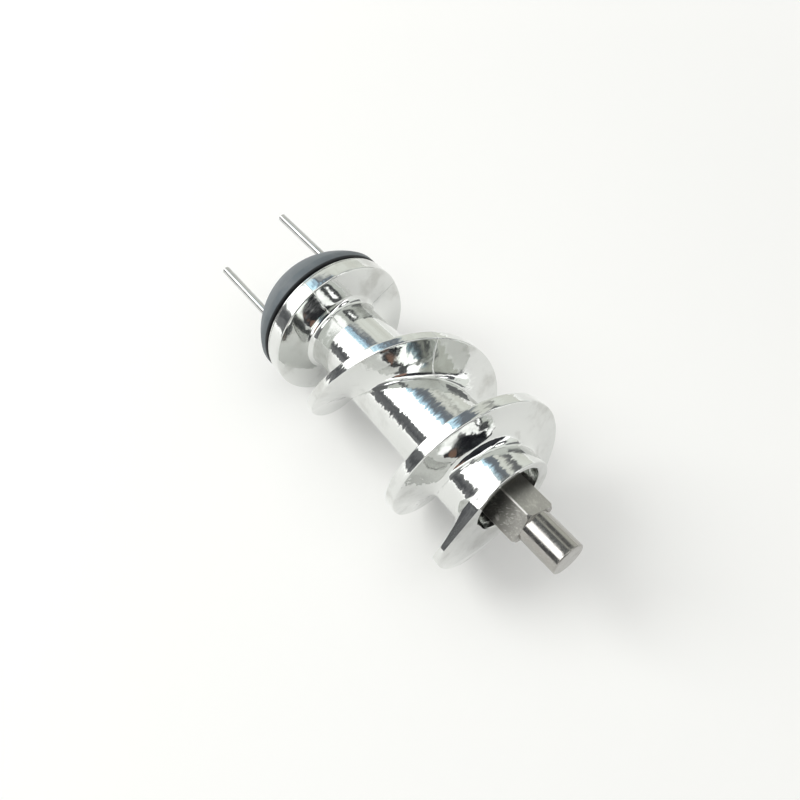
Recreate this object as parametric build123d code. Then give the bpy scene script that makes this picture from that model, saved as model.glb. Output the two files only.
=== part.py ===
from build123d import *
import math
import os

# Meat grinder auger: a die-cast screw with a steel spindle for the knife, two steel drive
# pins and a rubber seal. Millimetres. The screw is built along +X, the flange's front face
# at X = 0 and the knife end towards +X. Angles go round the axis: 0 at -Y, 90 at +Z.

# Drive flange
FLANGE_RADIUS = 21.9
FLANGE_THICKNESS = 5.3
FLANGE_RING_RADIUS = 21.6
FLANGE_RING_WIDTH = 0.4
FLANGE_GROOVE_DEPTH = 0.6
FLANGE_GROOVE_WIDTH = 0.4

# Core, a slow cone that widens towards the knife
CORE_RADIUS_AT_FLANGE = 10.9
CORE_RADIUS_AT_END = 13.2
SCREW_LENGTH = 73.8
CORE_FILLET = 2.2

# Flight: one left-handed blade, steep near the flange and shallow near the knife
RIM_RADIUS_AT_FLANGE = 21.8
RIM_RADIUS_AT_END = 24.4
LAND_AT_FLANGE = 2.6
LAND_AT_END = 4.0
FLANK_DRAFT = 1.2
FLANK_ROOT_REACH = 4.6
ROOT_SINK = 0.9
START_ANGLE = -180.0
FINAL_ANGLE = 790.0
SECTIONS_PER_TURN = 12
# Where the front edge of the rim stands: an angle, and the share of the screw's length
FLIGHT_PATH = (
    (-180.0, 0.0054),
    (-100.0, 0.0678),
    (-40.0, 0.1545),
    (0.0, 0.2114),
    (60.0, 0.3279),
    (180.0, 0.5556),
    (240.0, 0.6396),
    (360.0, 0.7466),
    (540.0, 0.8808),
    (660.0, 0.9729),
    (720.0, 1.0041),
    (800.0, 1.0108),
)

# Tail, where the rim comes down to the core along two flats and the land narrows to a tip
TAIL_START_ANGLE = 724.0
TAIL_SECTIONS = 11
TAIL_BEVEL_ANGLE = 758.0
TAIL_BEVEL_DISTANCE = 20.6
TAIL_CUT_ANGLE = 789.0
TAIL_CUT_STEP = 0.15
TAIL_TIP_ANGLE = 736.0
TAIL_TIP_REACH = 26.0
TAIL_TIP_NARROWING = 1.9

# Socket round the spindle at the knife end
SOCKET_RADIUS = 10.4
SOCKET_OFFSET = 1.3
SOCKET_DEPTH = 6.0

# Knife spindle
SQUARE_WIDTH = 10.1
SQUARE_REACH = 8.7
SHANK_LENGTH = 26.0
CORNER_TRIM = 0.9
CORNER_TRIM_LENGTH = 1.2
JOURNAL_DIAMETER = 10.0
JOURNAL_LENGTH = 12.3
JOURNAL_CHAMFER = 0.35

# Rubber seal behind the flange, a dome stretched over a round spigot
SEAL_RADIUS = 21.6
SEAL_WALL = 4.0
SEAL_GAP = 1.0
SEAL_LIP_THICKNESS = 2.5
SEAL_DOME_LENGTH = 9.4
SEAL_DOME_DROP = 7.6
SPIGOT_RADIUS = SEAL_RADIUS - SEAL_WALL
SPIGOT_LENGTH = 6.5

# Drive pins, each with a thicker root held in the casting and the seal
PIN_DIAMETER = 2.5
PIN_ROOT_DIAMETER = 2.9
PIN_CIRCLE_DIAMETER = 24.8
PIN_REACH = 41.6
LEFT_PIN_EXTRA = 1.2
PIN_SEAT_DEPTH = 10.0
PIN_TIP_CHAMFER = 0.4

FIT_CLEARANCE = 0.05

# Straight strips that the curved profiles are drawn in
FLANK_STRIPS = 4
TURNED_STRIPS = 3

# How the screw lies: the angle that points up
UP_ANGLE = 107.0


def core_radius(x):
    """Radius of the core at a distance in front of the flange."""
    return CORE_RADIUS_AT_FLANGE + (CORE_RADIUS_AT_END - CORE_RADIUS_AT_FLANGE) * x / SCREW_LENGTH


def rim_radius(x):
    """Radius of the cone that the rim of the blade lies on."""
    return RIM_RADIUS_AT_FLANGE + (RIM_RADIUS_AT_END - RIM_RADIUS_AT_FLANGE) * x / SCREW_LENGTH


def land_width(angle, x):
    """Width of the rim along the axis, less towards the tail's tip."""
    share = min(max(x / SCREW_LENGTH, 0.0), 1.0)
    to_tip = min(abs(angle - TAIL_TIP_ANGLE) / TAIL_TIP_REACH, 1.0)
    return LAND_AT_FLANGE + (LAND_AT_END - LAND_AT_FLANGE) * share - TAIL_TIP_NARROWING * (1.0 - to_tip)


def front_edge(angle):
    """Distance of the rim's front edge from the flange: a smooth curve through FLIGHT_PATH."""
    last = len(FLIGHT_PATH) - 1
    i = 0
    while i < last - 1 and angle > FLIGHT_PATH[i + 1][0]:
        i += 1
    slopes = []
    for k in (i, i + 1):
        a, b = FLIGHT_PATH[max(k - 1, 0)], FLIGHT_PATH[min(k + 1, last)]
        slopes.append((b[1] - a[1]) / (b[0] - a[0]))
    (a0, y0), (a1, y1) = FLIGHT_PATH[i], FLIGHT_PATH[i + 1]
    t = (angle - a0) / (a1 - a0)
    rise = y1 - y0
    start, finish = slopes[0] * (a1 - a0), slopes[1] * (a1 - a0)
    share = y0 + t * start + t * t * (3 * rise - 2 * start - finish) + t ** 3 * (start + finish - 2 * rise)
    return share * SCREW_LENGTH


def tail_limit(angle):
    """Distance from the axis of the tail's two flats, at an angle."""
    bevel = TAIL_BEVEL_DISTANCE / math.cos(math.radians(angle - TAIL_BEVEL_ANGLE))
    cut = (CORE_RADIUS_AT_END + TAIL_CUT_STEP) / math.cos(math.radians(angle - TAIL_CUT_ANGLE))
    return min(bevel, cut)


def at(angle, x, radius):
    """Point at an angle, a distance along the axis and a radius."""
    turn = math.radians(angle)
    return Vector(x, -radius * math.cos(turn), radius * math.sin(turn))


def outlined(*curves):
    """Face inside the curves of a closed outline."""
    return Face(Wire([edge for curve in curves for edge in curve.edges()]))


def strips(curve, count):
    """The curve as straight strips."""
    return Polyline(*[curve @ (i / count) for i in range(count + 1)])


def blade_section(angle):
    """Outline of the blade in the half plane at one angle."""
    front = front_edge(angle)
    rear = front - land_width(angle, front)
    foot_front = front + FLANK_ROOT_REACH
    foot_rear = rear - FLANK_ROOT_REACH
    reach_front, reach_rear = rim_radius(front), rim_radius(rear)
    if angle > TAIL_START_ANGLE:
        reach_front = min(reach_front, tail_limit(angle))
        reach_rear = min(reach_rear, tail_limit(angle))
    rim_front, rim_rear = at(angle, front, reach_front), at(angle, rear, reach_rear)
    root_front = at(angle, foot_front, core_radius(foot_front) - ROOT_SINK)
    root_rear = at(angle, foot_rear, core_radius(foot_rear) - ROOT_SINK)
    bend_front = at(angle, front + FLANK_DRAFT, core_radius(front))
    bend_rear = at(angle, rear - FLANK_DRAFT, core_radius(rear))
    front_flank = strips(Bezier(rim_front, bend_front, root_front), FLANK_STRIPS)
    rear_flank = strips(Bezier(rim_rear, bend_rear, root_rear), FLANK_STRIPS)
    return outlined(rear_flank, Line(rim_rear, rim_front), front_flank, Line(root_front, root_rear))


def blade_sections(first, last, count):
    """Sections of the blade at even steps from one angle to another."""
    return [blade_section(first + (last - first) * i / count) for i in range(count + 1)]


def blade():
    """The whole blade, drawn through its sections, and its tail."""
    count = round((TAIL_START_ANGLE - START_ANGLE) * SECTIONS_PER_TURN / 360)
    turns = loft(blade_sections(START_ANGLE, TAIL_START_ANGLE, count))
    tail = loft(blade_sections(TAIL_START_ANGLE, FINAL_ANGLE, TAIL_SECTIONS), ruled=True)
    return turns + tail


def revolved(*curves):
    """Solid turned round the axis from the curves of a closed outline."""
    return revolve(outlined(*curves), Axis.X)


def turned(*points):
    """Solid turned round the axis from an outline of (x, radius) points."""
    return revolved(Polyline(*points, close=True))


def sphere_arc(x0, r0, x1, r1):
    """Arc from one (x, radius) point to another on a sphere centred on the axis."""
    centre = (x1 ** 2 - x0 ** 2 + r1 ** 2 - r0 ** 2) / (2 * (x1 - x0))
    radius = math.hypot(x0 - centre, r0)
    turn = (math.atan2(r0, x0 - centre) + math.atan2(r1, x1 - centre)) / 2
    middle = (centre + radius * math.cos(turn), radius * math.sin(turn))
    return ThreePointArc((x0, r0), middle, (x1, r1))


def square_bar(x0, x1, width):
    """Square bar along the axis, one corner up."""
    bar = Box(x1 - x0, width, width, align=(Align.MIN, Align.CENTER, Align.CENTER))
    return Pos(x0, 0, 0) * Rot(45, 0, 0) * bar


def land_end():
    """Distance of the rear end of the flange's land along the axis."""
    return FLANGE_RING_WIDTH + FLANGE_GROOVE_WIDTH - FLANGE_THICKNESS


def flange_and_core():
    """Drive flange with a groove and ring at its rear, the spigot, and the core with its fillet."""
    rear = -FLANGE_THICKNESS
    ring = rear + FLANGE_RING_WIDTH
    groove = FLANGE_RADIUS - FLANGE_GROOVE_DEPTH
    spigot_end = rear - SPIGOT_LENGTH
    root = core_radius(CORE_FILLET)
    bend = CORE_FILLET * (1 - math.sqrt(0.5))
    fillet = ThreePointArc((0, root + CORE_FILLET), (bend, root + bend), (CORE_FILLET, root))
    return revolved(
        Polyline(
            (CORE_FILLET, root),
            (SCREW_LENGTH, CORE_RADIUS_AT_END),
            (SCREW_LENGTH, 0),
            (spigot_end, 0),
            (spigot_end, SPIGOT_RADIUS),
            (rear, SPIGOT_RADIUS),
            (rear, FLANGE_RING_RADIUS),
            (ring, FLANGE_RING_RADIUS),
            (ring, groove),
            (land_end(), groove),
            (land_end(), FLANGE_RADIUS),
            (0, FLANGE_RADIUS),
            (0, root + CORE_FILLET),
        ),
        strips(fillet, TURNED_STRIPS),
    )


def trimmed_blade():
    """Blade cut flush with the end face."""
    reach = 2 * RIM_RADIUS_AT_END
    past_end = Box(reach, 2 * reach, 2 * reach, align=(Align.MIN, Align.CENTER, Align.CENTER))
    return blade() - Pos(SCREW_LENGTH, 0, 0) * past_end


def socket():
    """Round recess in the end face."""
    hole = Cylinder(SOCKET_RADIUS, SOCKET_DEPTH + 1, align=(Align.CENTER, Align.CENTER, Align.MIN))
    return Pos(SCREW_LENGTH - SOCKET_DEPTH, 0, SOCKET_OFFSET) * Rot(0, 90, 0) * hole


def shank_bore():
    """Square bore that holds the spindle's shank."""
    return square_bar(SCREW_LENGTH - SHANK_LENGTH, SCREW_LENGTH, SQUARE_WIDTH + 2 * FIT_CLEARANCE)


def seal_rear():
    """Distance of the seal's rear face along the axis."""
    return -FLANGE_THICKNESS - SEAL_GAP - SEAL_LIP_THICKNESS - SEAL_DOME_LENGTH


def pin_seat():
    """Distance of the pins' inner ends along the axis."""
    return PIN_SEAT_DEPTH - FLANGE_THICKNESS - SPIGOT_LENGTH


def pin_place(side):
    """Axis of a drive pin, on one side of the screw's."""
    return Pos(0, side * PIN_CIRCLE_DIAMETER / 2, 0)


def pin_bore(side):
    """Bore for a drive pin's root, from its seat to behind the seal."""
    radius = PIN_ROOT_DIAMETER / 2 + FIT_CLEARANCE
    return pin_place(side) * turned((pin_seat(), 0), (pin_seat(), radius), (-PIN_REACH, radius), (-PIN_REACH, 0))


def auger_screw():
    """The casting: flange, core, blade and socket."""
    body = flange_and_core() + trimmed_blade()
    body -= socket()
    body -= shank_bore()
    for side in (-1, 1):
        body -= pin_bore(side)
    return body


def knife_spindle():
    """Steel spindle: square shank and drive, then the round journal."""
    start = SCREW_LENGTH - SHANK_LENGTH
    shoulder = SCREW_LENGTH + SQUARE_REACH
    tip = shoulder + JOURNAL_LENGTH
    corner = SQUARE_WIDTH * math.sqrt(0.5)
    journal = JOURNAL_DIAMETER / 2
    trim = turned(
        (start, 0),
        (start, corner + 1),
        (shoulder - CORNER_TRIM_LENGTH, corner + 1),
        (shoulder - CORNER_TRIM_LENGTH, corner),
        (shoulder, corner - CORNER_TRIM),
        (shoulder, 0),
    )
    stub = turned(
        (shoulder - 1, 0),
        (shoulder - 1, journal),
        (tip - JOURNAL_CHAMFER, journal),
        (tip, journal - JOURNAL_CHAMFER),
        (tip, 0),
    )
    return (square_bar(start, shoulder, SQUARE_WIDTH) & trim) + stub


def drive_pin(side):
    """Steel pin: its root up to the seal's rear face, then the free length and its chamfered tip."""
    root = PIN_ROOT_DIAMETER / 2
    radius = PIN_DIAMETER / 2
    tip = -FLANGE_THICKNESS - PIN_REACH
    if side > 0:
        tip -= LEFT_PIN_EXTRA
    pin = turned(
        (pin_seat(), 0),
        (pin_seat(), root),
        (seal_rear(), root),
        (seal_rear(), radius),
        (tip + PIN_TIP_CHAMFER, radius),
        (tip, radius - PIN_TIP_CHAMFER),
        (tip, 0),
    )
    return pin_place(side) * pin


def rear_seal():
    """Domed rubber seal on the spigot, with a hole for each pin."""
    lip = -FLANGE_THICKNESS - SEAL_GAP
    dome = lip - SEAL_LIP_THICKNESS
    spigot_end = -FLANGE_THICKNESS - SPIGOT_LENGTH
    crown_radius = SEAL_RADIUS - SEAL_DOME_DROP
    body = revolved(
        Polyline(
            (seal_rear(), crown_radius),
            (seal_rear(), 0),
            (spigot_end, 0),
            (spigot_end, SPIGOT_RADIUS),
            (lip, SPIGOT_RADIUS),
            (lip, SEAL_RADIUS),
            (dome, SEAL_RADIUS),
        ),
        strips(sphere_arc(dome, SEAL_RADIUS, seal_rear(), crown_radius), TURNED_STRIPS),
    )
    for side in (-1, 1):
        body -= pin_bore(side)
    return body


def rest_tilt():
    """Angle by which the axis rises towards the knife as flange and rim touch the floor."""
    contact = front_edge(UP_ANGLE + 180 + 360)
    return math.degrees(math.atan2(rim_radius(contact) - FLANGE_RADIUS, contact - land_end()))


def main():
    """Write each piece, as the part lies on the floor with its box centred on the origin."""
    pieces = {
        "auger_screw": auger_screw(),
        "knife_spindle": knife_spindle(),
        "drive_pin_left": drive_pin(1),
        "drive_pin_right": drive_pin(-1),
        "rear_seal": rear_seal(),
    }
    lying = Rot(0, -rest_tilt(), 0) * Rot(UP_ANGLE - 90, 0, 0)
    laid = {name: lying * piece for name, piece in pieces.items()}
    box = Compound(list(laid.values())).bounding_box()
    to_origin = Pos(-box.center().X, -box.center().Y, -box.min.Z)
    os.makedirs("parts", exist_ok=True)
    for name, piece in laid.items():
        export_step(to_origin * piece, f"parts/{name}.step")


if __name__ == "__main__":
    main()
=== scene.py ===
import logging
import math
from dataclasses import dataclass
from enum import Enum
from typing import Iterable, Sequence

import bmesh
import bpy
from mathutils import Euler, Matrix, Vector


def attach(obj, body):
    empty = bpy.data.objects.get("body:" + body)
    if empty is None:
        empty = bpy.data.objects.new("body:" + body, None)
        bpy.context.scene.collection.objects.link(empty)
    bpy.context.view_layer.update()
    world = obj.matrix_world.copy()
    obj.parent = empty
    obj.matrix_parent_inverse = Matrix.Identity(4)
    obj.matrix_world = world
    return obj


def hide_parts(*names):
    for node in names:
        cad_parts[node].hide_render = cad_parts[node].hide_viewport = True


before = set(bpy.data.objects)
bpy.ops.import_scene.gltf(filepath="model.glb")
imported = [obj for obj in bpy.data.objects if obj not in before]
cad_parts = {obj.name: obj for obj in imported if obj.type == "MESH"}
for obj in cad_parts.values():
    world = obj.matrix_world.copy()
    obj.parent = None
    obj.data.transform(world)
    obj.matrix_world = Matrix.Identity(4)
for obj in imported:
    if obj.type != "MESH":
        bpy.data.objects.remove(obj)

LOG = logging.getLogger("auger")
MM = 0.001
IN_PLACE = Matrix.Identity(4)

Object = bpy.types.Object
Material = bpy.types.Material
Socket = bpy.types.NodeSocket
Point = tuple[float, float]
Corner = tuple[float, float, float]
Colour = tuple[float, float, float]


class Slot(Enum):
    """Material slots of the record."""

    ALUMINIUM = "cast_aluminium"
    SPINDLE = "spindle_steel"
    PIN = "pin_steel"
    RUBBER = "seal_rubber"


class Shading(Enum):
    """How the faces of a mesh meet: the angle, in degrees, past which an edge stays sharp."""

    SOFT = 60.0
    CRISP = 28.0


# Sizes and placement


@dataclass(frozen=True)
class Placement:
    """How the screw lies.

    It is built along +X with the flange's front face at X = 0, then rolled, tipped and set down.
    """

    roll_deg: float = 17.0
    rise_deg: float = 1.82206
    origin_mm: tuple[float, float, float] = (-23.34097, -0.17239, 22.03401)

    def turn(self) -> Euler:
        """Turn from the screw's own frame to the part's frame."""
        return Euler((math.radians(self.roll_deg), -math.radians(self.rise_deg), 0.0), "XYZ")

    def origin(self) -> Vector:
        """Origin of the screw's frame, in metres."""
        return Vector(self.origin_mm) * MM

    def matrix(self) -> Matrix:
        """Matrix from the screw's frame to the part's frame."""
        return Matrix.Translation(self.origin()) @ self.turn().to_matrix().to_4x4()


@dataclass(frozen=True)
class ScrewLaw:
    """The rules that the core and the flight follow, in millimetres and degrees.

    The path's points are an angle and the share of the screw's length that the flight has gone there.
    """

    length: float = 73.8
    core_at_flange: float = 10.9
    core_at_end: float = 13.2
    rim_at_flange: float = 21.8
    rim_at_end: float = 24.4
    land_at_flange: float = 2.6
    land_at_end: float = 4.0
    start_angle: float = -180.0
    final_angle: float = 790.0
    station_step: float = 10.0
    tail_start: float = 724.0
    corner_angle: float = 750.16
    corner_distance: float = 21.9
    bevel_angle: float = 758.0
    bevel_distance: float = 20.6
    cut_angle: float = 789.0
    cut_step: float = 0.15
    tip_angle: float = 736.0
    tip_reach: float = 26.0
    tip_narrowing: float = 1.9
    path: tuple[Point, ...] = (
        (-180.0, 0.0054),
        (-100.0, 0.0678),
        (-40.0, 0.1545),
        (0.0, 0.2114),
        (60.0, 0.3279),
        (180.0, 0.5556),
        (240.0, 0.6396),
        (360.0, 0.7466),
        (540.0, 0.8808),
        (660.0, 0.9729),
        (720.0, 1.0041),
        (800.0, 1.0108),
    )

    def core(self, x: float) -> float:
        """Radius of the core at a distance in front of the flange."""
        return self.core_at_flange + (self.core_at_end - self.core_at_flange) * x / self.length

    def front_edge(self, angle: float) -> float:
        """Distance of the rim's front edge from the flange.

        Args:
            angle: angle round the axis, in degrees, counted on through the turns.

        Returns:
            The distance along the axis, on a smooth curve through the path's points.
        """
        path = self.path
        last = len(path) - 1
        i = 0
        while i < last - 1 and angle > path[i + 1][0]:
            i += 1
        slopes = []
        for k in (i, i + 1):
            before, after = path[max(k - 1, 0)], path[min(k + 1, last)]
            slopes.append((after[1] - before[1]) / (after[0] - before[0]))
        (a0, y0), (a1, y1) = path[i], path[i + 1]
        t = (angle - a0) / (a1 - a0)
        rise = y1 - y0
        start, finish = slopes[0] * (a1 - a0), slopes[1] * (a1 - a0)
        share = y0 + t * start + t * t * (3 * rise - 2 * start - finish) + t**3 * (start + finish - 2 * rise)
        return share * self.length

    def front_slope(self, angle: float) -> float:
        """Rise of the front edge in millimetres a degree."""
        return self.front_edge(angle + 0.5) - self.front_edge(angle - 0.5)


# Mesh helpers


def rounded(points: Sequence[Corner], steps: int = 5) -> list[Point]:
    """Round the corners of an outline.

    Args:
        points: corners as (x, radius, rounding), the rounding 0 for a sharp corner.
        steps: number of pieces that each rounding is divided in.

    Returns:
        The outline's points, with an arc in the place of each rounded corner.
    """
    out: list[Point] = []
    for i, (x, r, size) in enumerate(points):
        if size <= 0 or i in (0, len(points) - 1):
            out.append((x, r))
            continue
        here = Vector((x, r))
        to_last = (Vector(points[i - 1][:2]) - here).normalized()
        to_next = (Vector(points[i + 1][:2]) - here).normalized()
        half = to_last.angle(to_next) / 2
        reach = size / math.tan(half)
        centre = here + (to_last + to_next).normalized() * (size / math.sin(half))
        a, b = here + to_last * reach - centre, here + to_next * reach - centre
        sweep = a.angle_signed(b)
        for k in range(steps + 1):
            turn = Matrix.Rotation(-sweep * k / steps, 2)
            p = centre + turn @ a
            out.append((p.x, p.y))
    return out


def divided(points: Sequence[Point], longest: float) -> list[Point]:
    """Put more points on the long runs of an outline.

    Args:
        points: the outline.
        longest: distance that no two neighbours exceed afterwards.

    Returns:
        The outline with its new points.
    """
    out: list[Point] = [points[0]]
    for a, b in zip(points, points[1:]):
        count = max(1, math.ceil(math.dist(a, b) / longest))
        for k in range(1, count + 1):
            out.append((a[0] + (b[0] - a[0]) * k / count, a[1] + (b[1] - a[1]) * k / count))
    return out


def lathe(outline: Sequence[Point], steps: int) -> bmesh.types.BMesh:
    """Turn an outline round the X axis.

    Args:
        outline: (x, radius) points in millimetres; a radius of 0 at an end closes it with a pole.
        steps: number of steps round the axis.

    Returns:
        The closed surface, in metres.
    """
    bm = bmesh.new()
    rings = []
    for x, r in outline:
        count = 1 if r < 1e-6 else steps
        turn = [2 * math.pi * k / steps for k in range(count)]
        rings.append([bm.verts.new((x * MM, -r * MM * math.cos(t), r * MM * math.sin(t))) for t in turn])
    for a, b in zip(rings, rings[1:]):
        for k in range(steps):
            n = (k + 1) % steps
            corners = [a[k % len(a)], a[n % len(a)], b[n % len(b)], b[k % len(b)]]
            unique = list(dict.fromkeys(corners))
            if len(unique) > 2:
                bm.faces.new(unique)
    bmesh.ops.recalc_face_normals(bm, faces=bm.faces)
    return bm


def placed_object(name: str, bm: bmesh.types.BMesh, matrix: Matrix, shading: Shading) -> Object:
    """Make an object of a mesh and put its place in its vertices.

    Args:
        name: name of the object and its mesh.
        bm: the mesh, which is used up.
        matrix: place of the mesh in the part's frame.
        shading: angle past which its edges stay sharp.

    Returns:
        The object, linked to the scene, at the origin.
    """
    bm.transform(matrix)
    mesh = bpy.data.meshes.new(name)
    bm.to_mesh(mesh)
    bm.free()
    mesh.shade_smooth()
    mesh.set_sharp_from_angle(angle=math.radians(shading.value))
    return linked(name, mesh)


def linked(name: str, data: bpy.types.ID) -> Object:
    """Make an object and link it to the scene.

    Args:
        name: its name.
        data: its mesh, lamp or camera.

    Returns:
        The object.
    """
    obj = bpy.data.objects.new(name, data)
    bpy.context.scene.collection.objects.link(obj)
    return obj


def block(name: str, low: Vector, high: Vector) -> Object:
    """Make a plain block, for use as a cutter.

    Args:
        name: its name.
        low: its lowest corner, in millimetres.
        high: its highest corner.

    Returns:
        The block.
    """
    bm = bmesh.new()
    bmesh.ops.create_cube(bm, size=1.0)
    size, middle = (high - low) * MM, (high + low) / 2 * MM
    bm.transform(Matrix.Translation(middle) @ Matrix.Diagonal((*size, 1.0)))
    return placed_object(name, bm, IN_PLACE, Shading.CRISP)


def plain(obj: Object) -> None:
    """Put an object's modifiers in its mesh and take them off.

    Args:
        obj: the object.
    """
    graph = bpy.context.evaluated_depsgraph_get()
    shown = obj.evaluated_get(graph)
    mesh = bpy.data.meshes.new_from_object(shown, preserve_all_data_layers=True, depsgraph=graph)
    obj.modifiers.clear()
    old, obj.data = obj.data, mesh
    mesh.name = obj.name
    bpy.data.meshes.remove(old)


def drop(*objects: Object) -> None:
    """Take helper objects out of the file.

    Args:
        objects: the helpers.
    """
    for obj in objects:
        data = obj.data
        bpy.data.objects.remove(obj)
        if isinstance(data, bpy.types.Mesh):
            bpy.data.meshes.remove(data)


def carve(obj: Object, cutters: Iterable[Object], operation: str = "DIFFERENCE") -> None:
    """Carve an object with cutters, then remove them.

    Args:
        obj: the object.
        cutters: the shapes to carve it with.
        operation: DIFFERENCE to take the cutters' shapes out, INTERSECT to keep what lies inside them.
    """
    used = list(cutters)
    for cutter in used:
        step = obj.modifiers.new("cut", "BOOLEAN")
        step.operation, step.solver, step.object = operation, "EXACT", cutter
    plain(obj)
    drop(*used)


def joined(name: str, parts: Sequence[Object]) -> Object:
    """Join several objects, with their faces and sharp edges kept.

    Args:
        name: name of the whole.
        parts: the objects, which are used up.

    Returns:
        The whole.
    """
    first = parts[0]
    with bpy.context.temp_override(active_object=first, selected_editable_objects=list(parts)):
        bpy.ops.object.join()
    first.name = first.data.name = name
    return first


def finished(obj: Object, material: Material) -> None:
    """Give an object its one finish and its smooth faces with crisp edges.

    Args:
        obj: the object.
        material: the finish.
    """
    obj.data.materials.clear()
    obj.data.materials.append(material)
    obj.data.shade_smooth()
    obj.data.set_sharp_from_angle(angle=math.radians(Shading.CRISP.value))


# Node helpers


class Sheet:
    """Short way to put nodes on a node tree and join them."""

    def __init__(self, tree: bpy.types.NodeTree) -> None:
        """Keep the tree."""
        self.tree = tree

    def node(self, kind: str, inputs: dict | None = None, **settings: object) -> bpy.types.Node:
        """Add a node.

        Args:
            kind: the node's type.
            inputs: value or source socket for each input, by name or number.
            settings: properties of the node.

        Returns:
            The new node.
        """
        node = self.tree.nodes.new(kind)
        for key, value in settings.items():
            setattr(node, key, value)
        for key, value in (inputs or {}).items():
            self.feed(node.inputs[key], value)
        return node

    def feed(self, socket: Socket, value: object) -> None:
        """Fill a socket.

        Args:
            socket: the input to fill.
            value: a socket to link it to, or the value to set on it.
        """
        if isinstance(value, Socket):
            self.tree.links.new(value, socket)
        else:
            socket.default_value = value

    def math(self, operation: str, *values: object, clamp: bool = False) -> Socket:
        """Result of a Math node."""
        inputs = dict(enumerate(values))
        return self.node("ShaderNodeMath", inputs, operation=operation, use_clamp=clamp).outputs[0]

    def product(self, first: object, *others: object) -> Socket:
        """Multiply numbers.

        Args:
            first: a number, or the socket of one.
            others: the numbers that it is multiplied by.

        Returns:
            The product.
        """
        for other in others:
            first = self.math("MULTIPLY", first, other)
        return first

    def largest(self, first: object, *others: object) -> Socket:
        """Find the largest of some numbers.

        Args:
            first: a number, or the socket of one.
            others: the numbers that it is compared with.

        Returns:
            The largest.
        """
        for other in others:
            first = self.math("MAXIMUM", first, other)
        return first

    def within(self, value: object, low: float, high: float) -> Socket:
        """1 where a number lies between two limits."""
        return self.product(self.math("GREATER_THAN", value, low), self.math("LESS_THAN", value, high))

    def spread(
        self,
        value: object,
        low: object,
        high: object,
        out_low: object = 0.0,
        out_high: object = 1.0,
        smooth: bool = True,
    ) -> Socket:
        """Map a number from one range to another.

        Args:
            value: the number.
            low: start of its range.
            high: end of its range.
            out_low: result at the start and before it.
            out_high: result at the end and past it.
            smooth: whether the map eases in and out at its ends.

        Returns:
            The mapped number.
        """
        inputs = {0: value, 1: low, 2: high, 3: out_low, 4: out_high}
        kind = "SMOOTHSTEP" if smooth else "LINEAR"
        return self.node("ShaderNodeMapRange", inputs, interpolation_type=kind).outputs[0]

    def mix(self, factor: object, first: object, second: object) -> Socket:
        """Mix two colours.

        Args:
            factor: share of the second colour.
            first: a colour, or the socket of one.
            second: the other colour, or the socket of one.

        Returns:
            The mixed colour.
        """
        node = self.node("ShaderNodeMix", data_type="RGBA")
        for number, value in ((0, factor), (6, first), (7, second)):
            self.feed(node.inputs[number], rgba(value) if isinstance(value, tuple) else value)
        return node.outputs[2]

    def noise(self, vector: object, scale: float, detail: float = 3.0, roughness: float = 0.5) -> Socket:
        """Value of a noise texture."""
        inputs = {"Vector": vector, "Scale": scale, "Detail": detail, "Roughness": roughness}
        return self.node("ShaderNodeTexNoise", inputs).outputs[0]

    def parts(self, vector: object) -> Sequence[Socket]:
        """The three numbers of a vector."""
        return self.node("ShaderNodeSeparateXYZ", {0: vector}).outputs

    def joined(self, parts: dict[int, object]) -> Socket:
        """Vector of numbers given by their index."""
        return self.node("ShaderNodeCombineXYZ", parts).outputs[0]

    def scaled(self, vector: object, factors: Sequence[float]) -> Socket:
        """Vector with each of its numbers multiplied by a factor."""
        inputs = {0: vector, 1: tuple(factors)}
        return self.node("ShaderNodeVectorMath", inputs, operation="MULTIPLY").outputs[0]

    def unit(self, vector: object) -> Socket:
        """Vector brought to a length of 1."""
        return self.node("ShaderNodeVectorMath", {0: vector}, operation="NORMALIZE").outputs[0]

    def bump(self, height: object, depth: float, normal: object | None = None) -> Socket:
        """Lean the normal as a relief would.

        Args:
            height: the relief, from 0 to 1.
            depth: its real depth, in metres.
            normal: the normal to lean, or the surface's own.

        Returns:
            The leaning normal.
        """
        inputs = {"Height": height, "Distance": depth, "Strength": 1.0}
        if normal is not None:
            inputs["Normal"] = normal
        return self.node("ShaderNodeBump", inputs).outputs[0]

    def seen(self) -> Sequence[Socket]:
        """Say which rays show the backdrop as it looks.

        Returns:
            1 for what the camera, glossy and transmission rays see, and 1 for glossy rays alone.
        """
        path = self.node("ShaderNodeLightPath").outputs
        glossy = path["Is Glossy Ray"]
        return self.largest(path["Is Camera Ray"], glossy, path["Is Transmission Ray"]), glossy


def rgba(colour: Colour) -> tuple[float, float, float, float]:
    """Colour with an alpha of 1."""
    return (*colour, 1.0)


def grey(level: float) -> Colour:
    """Even grey of a level."""
    return (level, level, level)


def new_material(name: str) -> tuple[Material, Sheet, bpy.types.Node]:
    """Make a material.

    Args:
        name: its name.

    Returns:
        The material, its sheet and its shader.
    """
    material = bpy.data.materials.new(name)
    material.use_nodes = True
    return material, Sheet(material.node_tree), material.node_tree.nodes["Principled BSDF"]


# Finishes


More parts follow.
